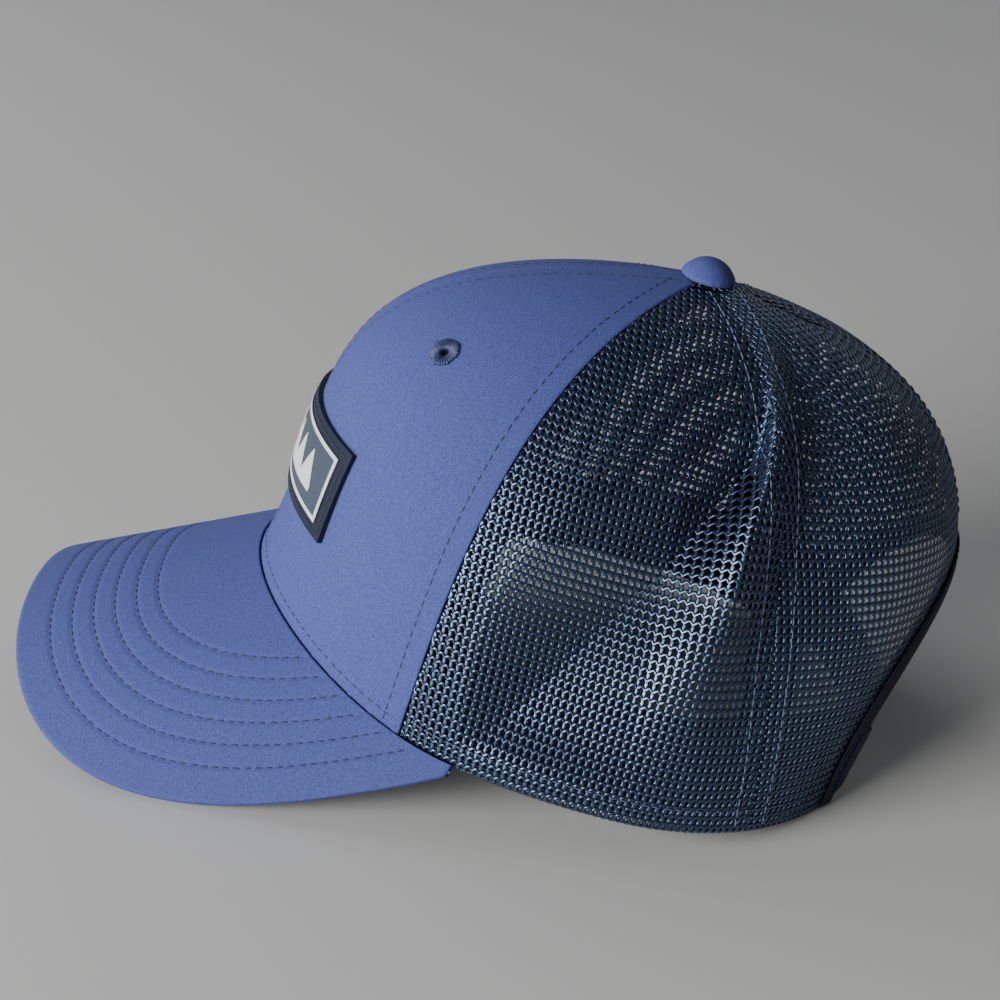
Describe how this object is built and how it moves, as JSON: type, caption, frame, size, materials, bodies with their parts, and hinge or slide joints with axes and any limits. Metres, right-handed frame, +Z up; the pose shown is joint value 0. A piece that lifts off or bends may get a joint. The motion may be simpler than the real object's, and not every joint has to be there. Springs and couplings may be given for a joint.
{
  "type": "trucker mesh cap",
  "caption": "Trucker cap with a curved bill, cloth front with a moulded rubber patch, open mesh sides and back, and a rear arch closed by a plastic snap strap.",
  "frame": {"origin": "middle of the cap's bounding box, on the surface that the cap rests on", "axes": "+Z up, -Y towards the tip of the bill, +X towards the wearer's left"},
  "size_m": [0.177, 0.2735, 0.1422],
  "materials": {
    "front_cloth": "satin woven, slate blue",
    "bill_cloth": "satin woven, slate blue",
    "mesh_yarn": "open knitted mesh, dark navy, glossy yarn",
    "buckram": "stiffened open weave",
    "seam_tape": "woven tape",
    "sweatband": "soft brushed cloth",
    "binding": "folded woven tape",
    "board": "moulded sheet",
    "button_cloth": "woven cloth over metal",
    "button_metal": "pressed",
    "eyelet_thread": "satin stitch thread",
    "patch_navy": "soft moulded",
    "patch_grey": "soft moulded",
    "patch_white": "soft moulded",
    "strap_plastic": "moulded, slightly glossy",
    "label_cloth": "woven ribbon, blank"
  },
  "bodies": {
    "cap": {"front_panel_left": "front_cloth", "front_panel_right": "front_cloth", "side_mesh_left": "mesh_yarn", "side_mesh_right": "mesh_yarn", "rear_mesh_left": "mesh_yarn", "rear_mesh_right": "mesh_yarn", "buckram_left": "buckram", "buckram_right": "buckram", "seam_tape_front": "seam_tape", "seam_tape_front_left": "seam_tape", "seam_tape_front_right": "seam_tape", "seam_tape_side_left": "seam_tape", "seam_tape_side_right": "seam_tape", "seam_tape_rear": "seam_tape", "sweatband": "sweatband", "arch_binding": "binding", "bill_top_cover": "bill_cloth", "bill_board": "board", "bill_under_cover": "bill_cloth", "button_cover": "button_cloth", "button_shell": "button_metal", "button_rivet": "button_metal", "eyelet_left": "eyelet_thread", "eyelet_right": "eyelet_thread", "patch_base": "patch_navy", "patch_panel": "patch_grey", "patch_frame": "patch_white", "patch_emblem": "patch_white", "care_label": "label_cloth"},
    "strap_outer_half": {"strap_holes": "strap_plastic"},
    "strap_inner_half": {"strap_pegs": "strap_plastic"}
  },
  "joints": [
    {"name": "strap_holes_peel", "type": "hinge", "parent": "cap", "child": "strap_outer_half", "pos_m": [0.0443, 0.1084, 0.0126], "axis": [0, 0, -1], "range_deg": [0, 45]},
    {"name": "strap_pegs_fold", "type": "hinge", "parent": "cap", "child": "strap_inner_half", "pos_m": [-0.0443, 0.1069, 0.0131], "axis": [0, 0, -1], "range_deg": [0, 45]}
  ]
}
